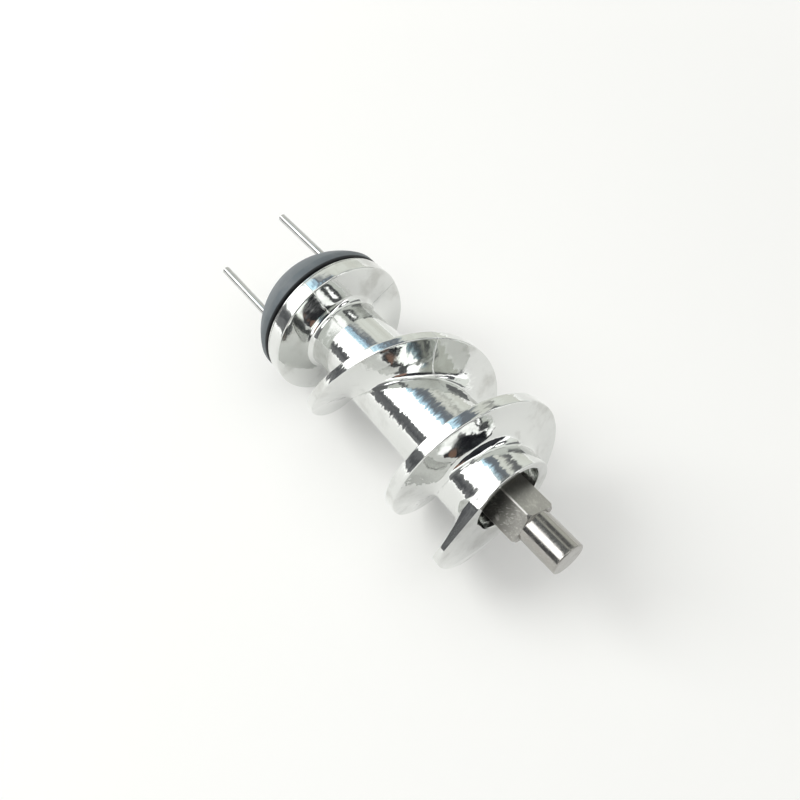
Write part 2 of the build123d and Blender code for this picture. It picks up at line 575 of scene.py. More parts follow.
@dataclass(frozen=True)
class Finish:
    """What the finishes share: a material whose pattern lies in the screw's own frame."""

    name: str
    placement: Placement

    def start(self) -> tuple[Material, Sheet, bpy.types.Node, Socket]:
        """Make the material.

        Returns:
            The material, its sheet, its shader and the place of a point in the screw's frame, in metres.
        """
        material, sheet, shader = new_material(self.name)
        coords = sheet.node("ShaderNodeTexCoord").outputs["Object"]
        place = sheet.node("ShaderNodeMapping", {"Vector": coords}, vector_type="TEXTURE")
        place.inputs["Location"].default_value = self.placement.origin()
        place.inputs["Rotation"].default_value = self.placement.turn()
        return material, sheet, shader, place.outputs[0]

    @staticmethod
    def facing(sheet: Sheet, parts: Sequence[Socket], angle: float) -> tuple[Socket, Socket]:
        """Place of a point across the axis, seen from an angle round it.

        Args:
            sheet: the material's sheet.
            parts: the point's place in the screw's frame, as three numbers.
            angle: angle round the axis, in degrees.

        Returns:
            How far the point lies beside the angle's own line, and how far out along it, in metres.
        """
        sine, cosine = math.sin(math.radians(angle)), math.cos(math.radians(angle))
        beside = sheet.math("ADD", sheet.product(parts[1], sine), sheet.product(parts[2], cosine))
        outward = sheet.math("ADD", sheet.product(parts[1], -cosine), sheet.product(parts[2], sine))
        return beside, outward


@dataclass(frozen=True)
class PolishedAluminium(Finish):
    """Mirror-polished casting: bright, with slow waves, fine wheel marks, a few dull patches and painted
    shade in the gap behind the flange's ring.

    Places are in millimetres along the screw's axis. Scales and stretches are in waves a metre, and depths
    in metres.
    """

    bright: Colour = (0.655, 0.665, 0.65)
    dull: Colour = (0.52, 0.525, 0.505)
    # painted shade: near-black colour that stands in for the shadow in the gap between the flange's ring and
    # the seal
    painted_gap_shade: Colour = (0.03, 0.03, 0.032)
    gap_start: float = -5.0
    sway: float = 0.26
    calm_until: tuple[float, float] = (2.0, 12.0)
    scoured_past: tuple[float, float] = (28.0, 36.0)
    tail_angle_deg: float = 69.0
    tail_height: float = 13.35
    tail_side: float = -3.8
    tail_start: float = 66.0
    tail_lean: float = 0.17
    seams: tuple[tuple[float, float, float], ...] = (
        (90.0, -6.0, 5.0),
        (131.0, 27.0, 42.0),
        (180.0, -0.5, 2.5),
    )
    seam_width: float = 0.22
    seam_wander: float = 1.2
    seam_depth: float = 7e-5
    patch_scale: float = 90.0
    wave_scale: float = 260.0
    wave_depth: float = 4e-5
    streak_stretch: Corner = (1500.0, 260.0, 260.0)
    mark_stretch: Corner = (2600.0, 160.0, 160.0)
    mark_depth: float = 4e-6
    pit_scale: float = 2200.0
    pit_depth: float = 1.2e-6

    def swayed(self, sheet: Sheet, place: Socket) -> Socket:
        """Sway the normal round the axis in fine streaks, as polishing leaves it.

        Args:
            sheet: the material's sheet.
            place: place of a point in the screw's frame, in metres.

        Returns:
            The swaying normal.
        """
        parts = sheet.parts(place)
        sideways = sheet.joined({1: sheet.product(parts[2], -1.0), 2: parts[1]})
        turned = sheet.node("ShaderNodeMapping", {"Vector": sheet.unit(sideways)}, vector_type="VECTOR")
        turned.inputs["Rotation"].default_value = self.placement.turn()
        streaks = sheet.noise(sheet.scaled(place, self.streak_stretch), 1.0, 4.0, 0.65)
        depth = sheet.spread(sheet.noise(place, 75.0, 1.0), 0.35, 0.65, 0.45 * self.sway, 1.2 * self.sway)
        (calm, lively), (plain_end, scoured) = self.calm_until, self.scoured_past
        depth = sheet.product(sheet.spread(parts[0], plain_end * MM, scoured * MM, 1.0, 1.5), depth)
        depth = sheet.product(sheet.spread(parts[0], calm * MM, lively * MM, 0.3, 1.0), depth)
        amount = sheet.product(sheet.math("SUBTRACT", streaks, 0.5), depth)
        amount = sheet.math("ADD", amount, self.tail(sheet, parts))
        shift = sheet.node("ShaderNodeVectorMath", {0: turned.outputs[0]}, operation="SCALE")
        sheet.feed(shift.inputs["Scale"], amount)
        normal = sheet.node("ShaderNodeNewGeometry").outputs["Normal"]
        leant = sheet.node("ShaderNodeVectorMath", {0: normal, 1: shift.outputs[0]}, operation="ADD")
        return sheet.unit(leant.outputs[0])

    def tail(self, sheet: Sheet, parts: Sequence[Socket]) -> Socket:
        """Lean of the trimmed flat at the flight's end, which the wheel left lower at its outer side.

        Args:
            sheet: the material's sheet.
            parts: the point's place in the screw's frame, as three numbers.

        Returns:
            The lean, 0 off the flat.
        """
        beside, outward = self.facing(sheet, parts, self.tail_angle_deg)
        on_flat = sheet.within(outward, (self.tail_height - 0.06) * MM, (self.tail_height + 0.06) * MM)
        low_side = ((self.tail_side - 0.5) * MM, (self.tail_side + 0.5) * MM)
        lean = sheet.spread(beside, *low_side, self.tail_lean, 0.0)
        return sheet.product(on_flat, sheet.math("GREATER_THAN", parts[0], self.tail_start * MM), lean)

    def seam(self, sheet: Sheet, place: Socket) -> Socket:
        """Relief of the thin seams that the die's halves left, each on one side of the axis.

        Args:
            sheet: the material's sheet.
            place: place of a point in the screw's frame, in metres.

        Returns:
            The height, 1 on a seam's crest.
        """
        parts = sheet.parts(place)
        stray = sheet.math("SUBTRACT", sheet.noise(place, 150.0), 0.5)
        wander = sheet.product(stray, self.seam_wander * MM)
        whole: object = 0.0
        for angle, first, last in self.seams:
            beside, outward = self.facing(sheet, parts, angle)
            off_line = sheet.math("ABSOLUTE", sheet.math("ADD", beside, wander))
            line = sheet.spread(off_line, 0.0, self.seam_width * MM, 1.0, 0.0)
            near = sheet.within(parts[0], first * MM, last * MM)
            shown = sheet.product(line, near, sheet.math("GREATER_THAN", outward, 0.0))
            whole = sheet.largest(whole, shown)
        return whole

    def build(self) -> Material:
        """Make the material.

        Returns:
            The finish, with painted shade in the gap behind the flange's ring.
        """
        material, sheet, shader, place = self.start()
        patches = sheet.noise(place, self.patch_scale, 4.0, 0.6)
        waves = sheet.noise(place, self.wave_scale, 2.0)
        marks = sheet.noise(sheet.scaled(place, self.mark_stretch), 1.0, 2.0)
        pits = sheet.noise(place, self.pit_scale, 2.0)
        colour = sheet.mix(sheet.spread(patches, 0.5, 0.72), self.bright, self.dull)
        # painted shade: the casting behind the ring, where the gap to the seal lies in shadow, is darkened
        in_gap = ((self.gap_start - 0.5) * MM, (self.gap_start - 0.3) * MM)
        gap_shade = sheet.spread(sheet.parts(place)[0], *in_gap, 0.97, 0.0)
        sheet.feed(shader.inputs["Base Color"], sheet.mix(gap_shade, colour, self.painted_gap_shade))
        shader.inputs["Metallic"].default_value = 1.0
        rough = sheet.spread(patches, 0.42, 0.75, 0.05, 0.17)
        rougher = sheet.spread(marks, 0.5, 0.8, 0.0, 0.1)
        sheet.feed(shader.inputs["Roughness"], sheet.math("ADD", rough, rougher))
        normal = sheet.bump(waves, self.wave_depth, self.swayed(sheet, place))
        normal = sheet.bump(self.seam(sheet, place), self.seam_depth, normal)
        normal = sheet.bump(pits, self.pit_depth, sheet.bump(marks, self.mark_depth, normal))
        sheet.feed(shader.inputs["Normal"], normal)
        return material


@dataclass(frozen=True)
class MilledSteel(Finish):
    """Steel bar, milled on its flats and turned on its journal, with scratches and dull spots.

    The left flat carries painted shade near the socket, which shades it there, and is rubbed bright at its
    outer end, and the long edges are worn.
    """

    colour: Colour = (0.36, 0.352, 0.332)
    worn: Colour = (0.60, 0.59, 0.56)
    turned: Colour = (0.345, 0.335, 0.315)
    # painted shade: dark colour for the shade that the socket casts on the left flat
    painted_socket_shade: Colour = (0.09, 0.088, 0.08)
    journal_start: float = 82.5
    edge_start: float = 6.86
    rubbed_from: float = 74.5
    rubbed_to: float = 81.5
    hatch_angle: float = 0.7
    hatch_stretch: Corner = (380.0, 1500.0, 3400.0)
    spot_scale: float = 420.0
    spot_depth: float = 1e-5
    line_stretch: Corner = (260.0, 3800.0, 3800.0)
    ring_stretch: Corner = (5200.0, 140.0, 140.0)
    line_depth: float = 6e-6

    def wear_and_shade(self, sheet: Sheet, place: Socket, spots: Socket) -> tuple[Socket, Socket]:
        """Find where the square is worn and where the socket's painted shade lies.

        Args:
            sheet: the material's sheet.
            place: place of a point in the screw's frame, in metres.
            spots: noise of the dull spots.

        Returns:
            The share of worn steel and the share of painted shade.
        """
        x, y, z = sheet.parts(place)
        slant = {"Vector": place, "Angle": self.hatch_angle}
        slanted = sheet.node("ShaderNodeVectorRotate", slant, rotation_type="Y_AXIS").outputs[0]
        hatching = sheet.noise(sheet.scaled(slanted, self.hatch_stretch), 1.0, 2.0)
        left = sheet.math("LESS_THAN", y, 0.0)
        outer = sheet.spread(x, self.rubbed_from * MM, self.rubbed_to * MM)
        rubbed = sheet.math("MULTIPLY_ADD", sheet.product(left, outer), 0.65, 0.3)
        scratches = sheet.product(sheet.spread(hatching, 0.58, 0.66), rubbed)
        beyond = sheet.largest(sheet.math("ABSOLUTE", y), sheet.math("ABSOLUTE", z))
        edges = sheet.spread(beyond, self.edge_start * MM, (self.edge_start + 0.07) * MM, 0.0, 0.9)
        worn = sheet.largest(sheet.spread(spots, 0.52, 0.7, 0.0, 0.5), scratches, edges)
        # painted shade on the left flat, strongest at the socket and gone past the rubbed outer end
        return worn, sheet.product(left, sheet.math("SUBTRACT", 1.0, outer), 0.75)

    def build(self) -> Material:
        """Make the material.

        Returns:
            The finish, lengthwise lines on the square and rings on the journal.
        """
        material, sheet, shader, place = self.start()
        shoulder = (self.journal_start * MM, (self.journal_start + 0.3) * MM)
        turned = sheet.spread(sheet.parts(place)[0], *shoulder)
        spots = sheet.noise(place, self.spot_scale, 4.0, 0.65)
        lengthwise = sheet.noise(sheet.scaled(place, self.line_stretch), 1.0, 2.0)
        rings = sheet.noise(sheet.scaled(place, self.ring_stretch), 1.0, 2.0)
        on_square = sheet.product(lengthwise, sheet.math("SUBTRACT", 1.0, turned))
        lines = sheet.math("ADD", on_square, sheet.product(rings, turned))
        worn, socket_shade_share = self.wear_and_shade(sheet, place, spots)
        # painted shade under the wear: the left flat darkens towards the socket
        base = sheet.mix(worn, sheet.mix(socket_shade_share, self.colour, self.painted_socket_shade), self.worn)
        sheet.feed(shader.inputs["Base Color"], sheet.mix(sheet.product(turned, 0.8), base, self.turned))
        shader.inputs["Metallic"].default_value = 1.0
        rough = sheet.spread(spots, 0.35, 0.7, 0.42, 0.28)
        rough = sheet.math("SUBTRACT", rough, sheet.product(turned, 0.2))
        rougher = sheet.spread(lines, 0.45, 0.75, 0.0, 0.08)
        sheet.feed(shader.inputs["Roughness"], sheet.math("ADD", rough, rougher))
        normal = sheet.bump(lines, self.line_depth, sheet.bump(spots, self.spot_depth))
        sheet.feed(shader.inputs["Normal"], normal)
        return material


@dataclass(frozen=True)
class DrawnSteel(Finish):
    """Bright drawn steel of the pins, with fine lines along them."""

    colour: Colour = (0.50, 0.50, 0.495)
    dull: Colour = (0.38, 0.38, 0.375)
    band_scale: float = 160.0
    line_stretch: Corner = (120.0, 5000.0, 5000.0)
    line_depth: float = 3e-6

    def build(self) -> Material:
        """Make the material.

        Returns:
            The finish, in slow bands of two tones.
        """
        material, sheet, shader, place = self.start()
        lines = sheet.noise(sheet.scaled(place, self.line_stretch), 1.0, 3.0)
        bands = sheet.spread(sheet.noise(place, self.band_scale, 2.0), 0.4, 0.7, 0.0, 0.6)
        sheet.feed(shader.inputs["Base Color"], sheet.mix(bands, self.colour, self.dull))
        shader.inputs["Metallic"].default_value = 1.0
        sheet.feed(shader.inputs["Roughness"], sheet.spread(lines, 0.35, 0.7, 0.08, 0.2))
        sheet.feed(shader.inputs["Normal"], sheet.bump(lines, self.line_depth))
        return material


@dataclass(frozen=True)
class MatteRubber(Finish):
    """Grey moulded rubber with a faint sheen, mould grain, a little dust and painted shade on the lip's
    front.
    """

    colour: Colour = (0.105, 0.125, 0.137)
    dusty: Colour = (0.155, 0.172, 0.182)
    # painted shade: near-black colour for the shadow in the gap where the lip meets the flange
    painted_lip_shade: Colour = (0.008, 0.009, 0.01)
    lip_front: float = -6.3
    sheen: float = 0.4
    dust_scale: float = 140.0
    dust_depth: float = 4e-5
    grain_scale: float = 3000.0
    grain_depth: float = 5e-6

    def build(self) -> Material:
        """Make the material.

        Returns:
            The finish, with painted shade on the lip's front where it meets the flange.
        """
        material, sheet, shader, place = self.start()
        dust = sheet.noise(place, self.dust_scale, 5.0, 0.6)
        grain = sheet.noise(place, self.grain_scale, 2.0)
        tone = sheet.mix(sheet.spread(dust, 0.42, 0.72), self.colour, self.dusty)
        # painted shade: the lip's front, which lies in the gap's shadow, is darkened
        at_front = ((self.lip_front - 0.75) * MM, (self.lip_front - 0.35) * MM)
        lip_shade = sheet.spread(sheet.parts(place)[0], *at_front, 0.0, 0.95)
        sheet.feed(shader.inputs["Base Color"], sheet.mix(lip_shade, tone, self.painted_lip_shade))
        sheet.feed(shader.inputs["Roughness"], sheet.spread(dust, 0.3, 0.7, 0.46, 0.6))
        shader.inputs["Specular IOR Level"].default_value = self.sheen
        normal = sheet.bump(grain, self.grain_depth, sheet.bump(dust, self.dust_depth))
        sheet.feed(shader.inputs["Normal"], normal)
        return material


# Pieces


@dataclass
class Flight:
    """The left-handed blade, swept by a node tree from its stations and its section."""

    law: ScrewLaw
    edge_rounding: float = 0.4
    draft: float = 1.2
    root_reach: float = 4.6
    root_sink: float = 0.03
    inner_share: float = 1.3
    start_share: float = 0.12
    start_reach: float = 70.0
    start_sink: float = 0.35
    sink_reach: float = 34.0
    flank_steps: int = 26
    corner_steps: int = 5
    land_steps: int = 6
    steps_a_turn: int = 240
    waviness: float = 0.05
    wave_scale: float = 95.0
    seed: float = 4.0
    weld: float = 1e-7

    def section(self) -> list[Corner]:
        """Points of the section, from the rear foot over the rim to the front foot and back under the core.

        Returns:
            Points as (millimetres outside the land's edge, share of the depth below the rim, side).
            The side runs from -1 at the land's rear edge to 1 at its front edge.
        """
        depth = self.law.rim_at_end - self.law.core_at_end
        corner = self.edge_rounding / depth
        front: list[Corner] = []
        for k in range(self.corner_steps + 1):
            turn = math.pi / 2 * k / self.corner_steps
            inward = self.edge_rounding * (1 - math.sin(turn))
            front.append((-inward, corner * (1 - math.cos(turn)), 1.0))
        foot = 1.0 + self.root_sink / depth
        for k in range(1, self.flank_steps + 1):
            u = k / self.flank_steps
            offset = 2 * u * (1 - u) * self.draft + u * u * self.root_reach
            share = corner * (1 - u) ** 2 + 2 * u * (1 - u) + u * u * foot
            front.append((offset, share, 1.0))
        rear = [(x, share, -1.0) for x, share, _ in reversed(front)]
        sides = [-1.0 + 2.0 * k / self.land_steps for k in range(1, self.land_steps)]
        land = [(-self.edge_rounding * abs(side), 0.0, side) for side in sides]
        under = [(self.root_reach, self.inner_share, side) for side in (1.0, -1.0)]
        return [*rear, *land, *front, *under]

    def points_object(self, name: str, points: Sequence[Sequence[float]]) -> Object:
        """Make an object whose bare vertices carry numbers for the tree.

        Args:
            name: its name.
            points: three numbers for each vertex.

        Returns:
            The object.
        """
        mesh = bpy.data.meshes.new(name)
        mesh.from_pydata([tuple(p) for p in points], [], [])
        return linked(name, mesh)

    def inputs(self, section: Object, count: int) -> dict[str, object]:
        """Name the inputs of the tree.

        Args:
            section: the object that carries the section.
            count: number of its points.

        Returns:
            The value of each input, in metres and degrees.
        """
        law = self.law
        turns = (law.final_angle - law.start_angle) / 360.0
        return {
            "Section": section,
            "Section Points": count,
            "Rings": round(turns * self.steps_a_turn) + 1,
            "Start Angle": law.start_angle,
            "Final Angle": law.final_angle,
            "Station Step": law.station_step,
            "Screw Length": law.length * MM,
            "Core Radius At Flange": law.core_at_flange * MM,
            "Core Radius At End": law.core_at_end * MM,
            "Rim Radius At Flange": law.rim_at_flange * MM,
            "Rim Radius At End": law.rim_at_end * MM,
            "Land At Flange": law.land_at_flange * MM,
            "Land At End": law.land_at_end * MM,
            "Tail Start": law.tail_start,
            "Corner Angle": law.corner_angle,
            "Corner Distance": law.corner_distance * MM,
            "Bevel Angle": law.bevel_angle,
            "Bevel Distance": law.bevel_distance * MM,
            "Cut Angle": law.cut_angle,
            "Cut Distance": (law.core_at_end + law.cut_step) * MM,
            "Tip Angle": law.tip_angle,
            "Tip Reach": law.tip_reach,
            "Tip Narrowing": law.tip_narrowing * MM,
            "Start Share": self.start_share,
            "Start Reach": self.start_reach,
            "Start Sink": self.start_sink * MM,
            "Sink Reach": self.sink_reach,
            "Waviness": self.waviness * MM,
            "Seed": self.seed,
        }

    def tree(
        self, values: dict[str, object], material: Material
    ) -> tuple[bpy.types.NodeTree, dict[str, str]]:
        """Build the node tree that sweeps the section.

        Args:
            values: the named inputs.
            material: finish that the swept faces get.

        Returns:
            The tree, and the identifier of each input's socket.
        """
        tree = bpy.data.node_groups.new("flight_sweep", "GeometryNodeTree")
        face = tree.interface
        face.new_socket("Geometry", in_out="OUTPUT", socket_type="NodeSocketGeometry")
        face.new_socket("Stations", in_out="INPUT", socket_type="NodeSocketGeometry")
        kinds = {int: "NodeSocketInt", float: "NodeSocketFloat", Object: "NodeSocketObject"}
        names = {}
        for name, value in values.items():
            names[name] = face.new_socket(name, in_out="INPUT", socket_type=kinds[type(value)]).identifier
        s = Sheet(tree)
        given = tree.nodes.new("NodeGroupInput").outputs
        size = {"Size X": 1.0, "Size Y": 1.0, "Vertices X": given["Rings"]}
        size["Vertices Y"] = s.math("ADD", given["Section Points"], 1.0)
        shape = s.node("GeometryNodeMeshGrid", size).outputs["Mesh"]
        steps = (
            ("GeometryNodeSetPosition", {"Position": self.swept(s, given)}),
            ("GeometryNodeMergeByDistance", {"Distance": self.weld}),
            ("GeometryNodeSetShadeSmooth", {}),
            ("GeometryNodeRealizeInstances", {}),
            ("GeometryNodeSetMaterial", {"Material": material}),
        )
        for kind, inputs in steps:
            shape = s.node(kind, {"Geometry": shape, **inputs}).outputs[0]
        s.feed(tree.nodes.new("NodeGroupOutput").inputs[0], shape)
        return tree, names

    def swept(self, s: Sheet, given: bpy.types.NodeOutputs) -> Socket:
        """Place on the blade of a point of the grid.

        The point's X tells the angle round the axis, its Y the point of the section.

        Args:
            s: the tree's sheet.
            given: the tree's named inputs.

        Returns:
            The place, in metres.
        """
        grid_x, grid_y, _ = s.parts(s.node("GeometryNodeInputPosition").outputs[0])
        whole = s.math("SUBTRACT", given["Final Angle"], given["Start Angle"])
        angle = s.math("MULTIPLY_ADD", s.math("ADD", grid_x, 0.5), whole, given["Start Angle"])
        column = s.math("ROUND", s.product(s.math("ADD", grid_y, 0.5), given["Section Points"]))
        column = s.math("FLOORED_MODULO", column, given["Section Points"])
        past = s.math("SUBTRACT", angle, given["Start Angle"])
        sunk = s.spread(past, 0.0, given["Sink Reach"], given["Start Sink"], 0.0)
        front = s.math("SUBTRACT", self.front(s, given, angle), sunk)
        shape = s.node("GeometryNodeObjectInfo", {"Object": given["Section"]}).outputs["Geometry"]
        offset, share, side = self.sample(s, shape, column)
        half_land = s.product(self.land(s, given, angle, front), 0.5)
        grown = s.spread(past, 0.0, given["Start Reach"], given["Start Share"], 1.0)
        spread = s.math("MULTIPLY_ADD", s.largest(offset, 0.0), grown, s.math("MINIMUM", offset, 0.0))
        outward = s.product(s.math("SIGN", side), s.product(spread, MM))
        across = s.math("MULTIPLY_ADD", side, half_land, s.math("SUBTRACT", front, half_land))
        x = s.math("ADD", across, outward)
        rim, core = self.on_cone(s, x, given, "Rim"), self.on_cone(s, x, given, "Core")
        for flat in ("Corner", "Bevel", "Cut"):
            rim = s.math("MINIMUM", rim, self.flat_limit(s, given, angle, flat))
        radius = s.math("SUBTRACT", rim, s.product(share, s.math("SUBTRACT", rim, core)))
        turn = s.math("RADIANS", angle)
        y = s.product(radius, s.math("COSINE", turn), -1.0)
        z = s.product(radius, s.math("SINE", turn))
        fade = s.math("SUBTRACT", 1.0, s.math("POWER", s.math("MINIMUM", share, 1.0), 6.0))
        x = s.math("MULTIPLY_ADD", self.ripple(s, given, {0: x, 1: y, 2: z}), s.product(fade, 2.0), x)
        return s.joined({0: x, 1: y, 2: z})

    @staticmethod
    def land(s: Sheet, given: bpy.types.NodeOutputs, angle: Socket, front: Socket) -> Socket:
        """Width of the land, which grows along the screw and narrows at the tip.

        Args:
            s: the tree's sheet.
            given: the tree's named inputs.
            angle: angle round the axis.
            front: place of the land's front edge along the axis.

        Returns:
            The width.
        """
        along = s.math("DIVIDE", front, given["Screw Length"], clamp=True)
        wide = s.spread(along, 0.0, 1.0, given["Land At Flange"], given["Land At End"], smooth=False)
        to_tip = s.math("ABSOLUTE", s.math("SUBTRACT", angle, given["Tip Angle"]))
        narrowed = s.spread(to_tip, 0.0, given["Tip Reach"], given["Tip Narrowing"], 0.0, smooth=False)
        return s.math("SUBTRACT", wide, narrowed)

    def ripple(self, s: Sheet, given: bpy.types.NodeOutputs, place: dict[int, Socket]) -> Socket:
        """Slight waviness of the casting at a place.

        Args:
            s: the tree's sheet.
            given: the tree's named inputs.
            place: the place's three numbers by their index.

        Returns:
            The height of the wave, in metres.
        """
        inputs = {"Vector": s.joined(place), "W": given["Seed"], "Scale": self.wave_scale, "Detail": 1.0}
        noise = s.node("ShaderNodeTexNoise", noise_dimensions="4D")
        for name, value in inputs.items():
            s.feed(noise.inputs[name], value)
        return s.product(s.math("SUBTRACT", noise.outputs[0], 0.5), given["Waviness"])

    @staticmethod
    def sample(s: Sheet, geometry: Socket, index: Socket) -> Sequence[Socket]:
        """Look up the numbers that a point carries.

        Args:
            s: the tree's sheet.
            geometry: the points.
            index: number of the point.

        Returns:
            Its three numbers.
        """
        which = {"Geometry": geometry, "Index": index}
        taken = s.node("GeometryNodeSampleIndex", which, data_type="FLOAT_VECTOR", clamp=True)
        place = s.node("GeometryNodeInputPosition").outputs[0]
        for socket in taken.inputs:
            if socket.name == "Value" and socket.enabled:
                s.feed(socket, place)
        return s.parts(next(o for o in taken.outputs if o.enabled))

    @staticmethod
    def on_cone(s: Sheet, x: Socket, given: bpy.types.NodeOutputs, cone: str) -> Socket:
        """Radius of a cone at a distance along the axis.

        Args:
            s: the tree's sheet.
            x: the distance.
            given: the tree's named inputs.
            cone: Rim or Core.

        Returns:
            The radius.
        """
        first, last = given[f"{cone} Radius At Flange"], given[f"{cone} Radius At End"]
        share = s.math("DIVIDE", x, given["Screw Length"])
        return s.math("MULTIPLY_ADD", share, s.math("SUBTRACT", last, first), first)

    @staticmethod
    def flat_limit(s: Sheet, given: bpy.types.NodeOutputs, angle: Socket, flat: str) -> Socket:
        """Distance from the axis of one of the tail's flats at an angle.

        Args:
            s: the tree's sheet.
            given: the tree's named inputs.
            angle: angle round the axis; before the tail, the tail's start counts.
            flat: Corner, Bevel or Cut.

        Returns:
            The distance.
        """
        past = s.largest(angle, given["Tail Start"])
        lean = s.math("RADIANS", s.math("SUBTRACT", past, given[f"{flat} Angle"]))
        return s.math("DIVIDE", given[f"{flat} Distance"], s.math("COSINE", lean))

    def front(self, s: Sheet, given: bpy.types.NodeOutputs, angle: Socket) -> Socket:
        """Front edge of the rim at an angle.

        Args:
            s: the tree's sheet.
            given: the tree's named inputs.
            angle: angle round the axis.

        Returns:
            The distance along the axis, on a smooth curve through the stations.
        """
        step = given["Station Step"]
        steps = s.math("DIVIDE", s.math("SUBTRACT", angle, given["Start Angle"]), step)
        turns = s.math("SUBTRACT", given["Final Angle"], given["Start Angle"])
        last = s.math("SUBTRACT", s.math("DIVIDE", turns, step), 1.0)
        index = s.math("MINIMUM", s.math("FLOOR", s.math("ADD", steps, 0.0001)), last)
        t = s.math("SUBTRACT", steps, index)
        _, x0, m0 = self.sample(s, given["Stations"], index)
        _, x1, m1 = self.sample(s, given["Stations"], s.math("ADD", index, 1.0))
        start, finish = s.product(m0, step), s.product(m1, step)
        rise = s.math("SUBTRACT", x1, x0)
        both = s.math("ADD", start, finish)
        cubic = s.math("SUBTRACT", both, s.product(rise, 2.0))
        square = s.math("SUBTRACT", s.product(rise, 3.0), s.math("ADD", both, start))
        inner = s.math("MULTIPLY_ADD", cubic, t, square)
        return s.math("MULTIPLY_ADD", s.math("MULTIPLY_ADD", inner, t, start), t, x0)

    def build(self, material: Material) -> Object:
        """Sweep the blade and close its ends.

        Args:
            material: its finish.

        Returns:
            The blade in the screw's own frame, a plain closed mesh.
        """
        law = self.law
        count = round((law.final_angle - law.start_angle) / law.station_step)
        angles = [law.start_angle + k * law.station_step for k in range(count + 1)]
        stations = [(a, law.front_edge(a) * MM, law.front_slope(a) * MM) for a in angles]
        points = self.section()
        section = self.points_object("flight_section", points)
        blade = self.points_object("flight", stations)
        values = self.inputs(section, len(points))
        tree, names = self.tree(values, material)
        sweep = blade.modifiers.new("sweep", "NODES")
        sweep.node_group = tree
        for name, value in values.items():
            sweep[names[name]] = value
        plain(blade)
        drop(section)
        bm = bmesh.new()
        bm.from_mesh(blade.data)
        bmesh.ops.holes_fill(bm, edges=[e for e in bm.edges if e.is_boundary], sides=0)
        bmesh.ops.recalc_face_normals(bm, faces=bm.faces)
        bm.to_mesh(blade.data)
        bm.free()
        return blade


@dataclass
class Casting:
    """The polished casting: flange, core, flight and socket."""

    law: ScrewLaw
    placement: Placement
    finish: PolishedAluminium
    flange_radius: float = 21.894
    flange_thickness: float = 5.3
    flange_draft: float = 0.8
    ring_radius: float = 21.6
    ring_width: float = 0.4
    groove_depth: float = 0.6
    groove_width: float = 0.4
    spigot_radius: float = 17.6
    spigot_length: float = 6.5
    core_fillet: float = 2.2
    socket_radius: float = 10.4
    socket_offset: float = 1.3
    socket_depth: float = 6.0
    socket_fillet: float = 1.1
    socket_bevel: float = 0.25
    end_trim: float = 0.004
    steps: int = 360
    socket_steps: int = 180

    def outline(self) -> list[Point]:
        """Outline of the turned body.

        Returns:
            Points from the spigot's rear to the end face.
        """
        law, rear, rim = self.law, -self.flange_thickness, self.flange_radius
        ring, land = rear + self.ring_width, rear + self.ring_width + self.groove_width
        corners = [
            (rear - self.spigot_length, 0.0, 0.0),
            (rear - self.spigot_length, self.spigot_radius, 0.3),
            (rear, self.spigot_radius, 0.0),
            (rear, self.ring_radius, 0.15),
            (ring, self.ring_radius, 0.12),
            (ring, rim - self.groove_depth, 0.0),
            (land, rim - self.groove_depth, 0.0),
            (land, rim, 0.2),
            (0.0, rim, 0.45),
            (self.flange_draft, law.core(self.flange_draft), self.core_fillet),
            (law.length, law.core_at_end, 0.3),
            (law.length, 0.0, 0.0),
        ]
        return divided(rounded(corners, steps=8), 1.6)

    def socket_tool(self) -> Object:
        """Round cutter for the recess round the spindle.

        Returns:
            The cutter, with a rounded bottom and a bevel at the end face.
        """
        past = 1.0
        face, r = self.law.length, self.socket_radius
        corners = [
            (face - self.socket_depth, 0.0, 0.0),
            (face - self.socket_depth, r, self.socket_fillet),
            (face - self.socket_bevel, r, 0.0),
            (face + past, r + (self.socket_bevel + past), 0.0),
            (face + past, 0.0, 0.0),
        ]
        bm = lathe(divided(rounded(corners, steps=6), 1.5), self.socket_steps)
        shift = Matrix.Translation((0.0, 0.0, self.socket_offset * MM))
        return placed_object("socket_tool", bm, shift, Shading.CRISP)

    def build(self) -> Object:
        """Make the casting.

        Returns:
            The casting as one piece, dressed, in the part's frame.
        """
        material = self.finish.build()
        blade = Flight(self.law).build(material)
        reach, face = 2 * self.law.rim_at_end, self.law.length
        low, high = Vector((face - self.end_trim, -reach, -reach)), Vector((face + reach, reach, reach))
        carve(blade, [block("past_end", low, high)])
        body = placed_object("body", lathe(self.outline(), self.steps), IN_PLACE, Shading.SOFT)
        carve(body, [self.socket_tool()])
        for part in (body, blade):
            finished(part, material)
        whole = joined("polished_casting", [body, blade])
        whole.data.transform(self.placement.matrix())
        return whole


